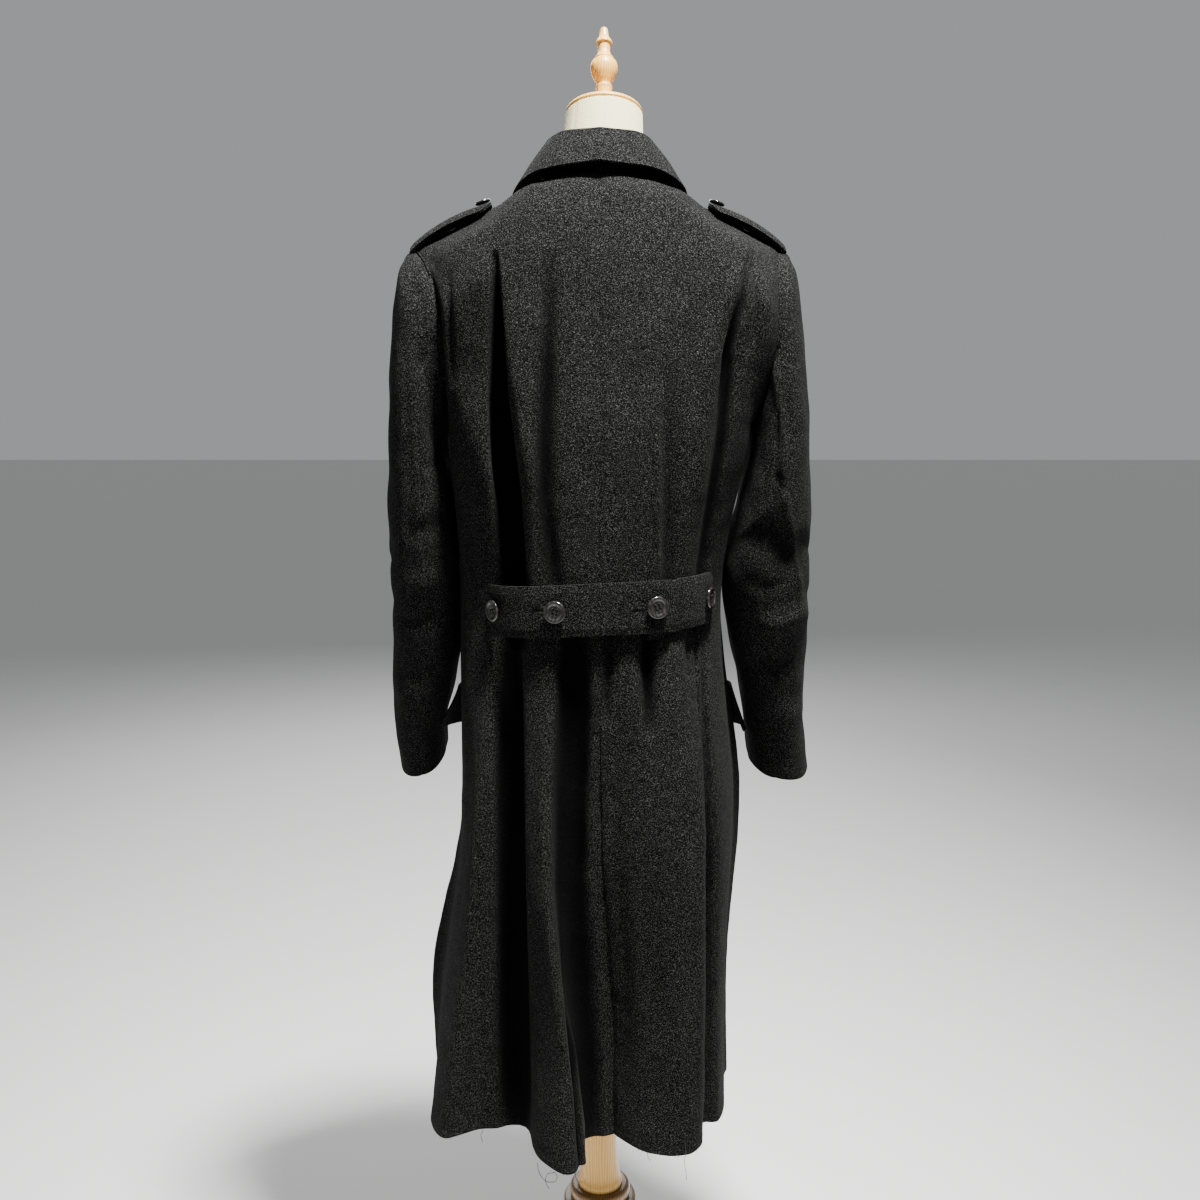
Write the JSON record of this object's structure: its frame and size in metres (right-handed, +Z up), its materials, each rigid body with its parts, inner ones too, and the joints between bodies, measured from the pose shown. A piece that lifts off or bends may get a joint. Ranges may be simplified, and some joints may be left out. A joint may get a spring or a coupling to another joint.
{
  "type": "double-breasted coat on a limbless dress form and stand",
  "caption": "Heavy wool double-breasted greatcoat with half belt, shoulder straps, collar and back vent, hanging on a limbless dress form with a turned wooden finial, post and round base.",
  "frame": {"origin": "centre of the base disc's flat underside, on the floor, on the post's axis", "axes": "+Z up along the post; the coat's back faces -Y and the wearer faces +Y; +X is the wearer's right"},
  "size_m": [0.5617, 0.3885, 1.8189],
  "materials": {
    "black_wool": "matte melton",
    "dark_horn": "polished",
    "cream_cotton": "plain weave",
    "pale_wood": "satin varnish",
    "stained_wood": "satin varnish"
  },
  "bodies": {
    "root": {"back_left": "black_wool", "back_right": "black_wool", "front_left": "black_wool", "front_right": "black_wool", "lapel_left": "black_wool", "lapel_right": "black_wool", "collar": "black_wool", "top_sleeve_left": "black_wool", "top_sleeve_right": "black_wool", "under_sleeve_left": "black_wool", "under_sleeve_right": "black_wool", "shoulder_strap_left": "black_wool", "shoulder_strap_right": "black_wool", "half_belt_left": "black_wool", "half_belt_right": "black_wool", "pocket_flap_left": "black_wool", "pocket_flap_right": "black_wool", "belt_button_1": "dark_horn", "belt_button_2": "dark_horn", "belt_button_3": "dark_horn", "belt_button_4": "dark_horn", "strap_button_left": "dark_horn", "strap_button_right": "dark_horn", "front_button_1": "dark_horn", "front_button_2": "dark_horn", "front_button_3": "dark_horn", "front_button_4": "dark_horn", "front_button_5": "dark_horn", "front_button_6": "dark_horn", "front_button_7": "dark_horn", "front_button_8": "dark_horn", "dress_form": "cream_cotton", "finial": "pale_wood", "neck_cap": "pale_wood", "post": "pale_wood", "post_ring": "stained_wood", "base_hub": "stained_wood", "base_disc": "stained_wood"}
  },
  "joints": []
}
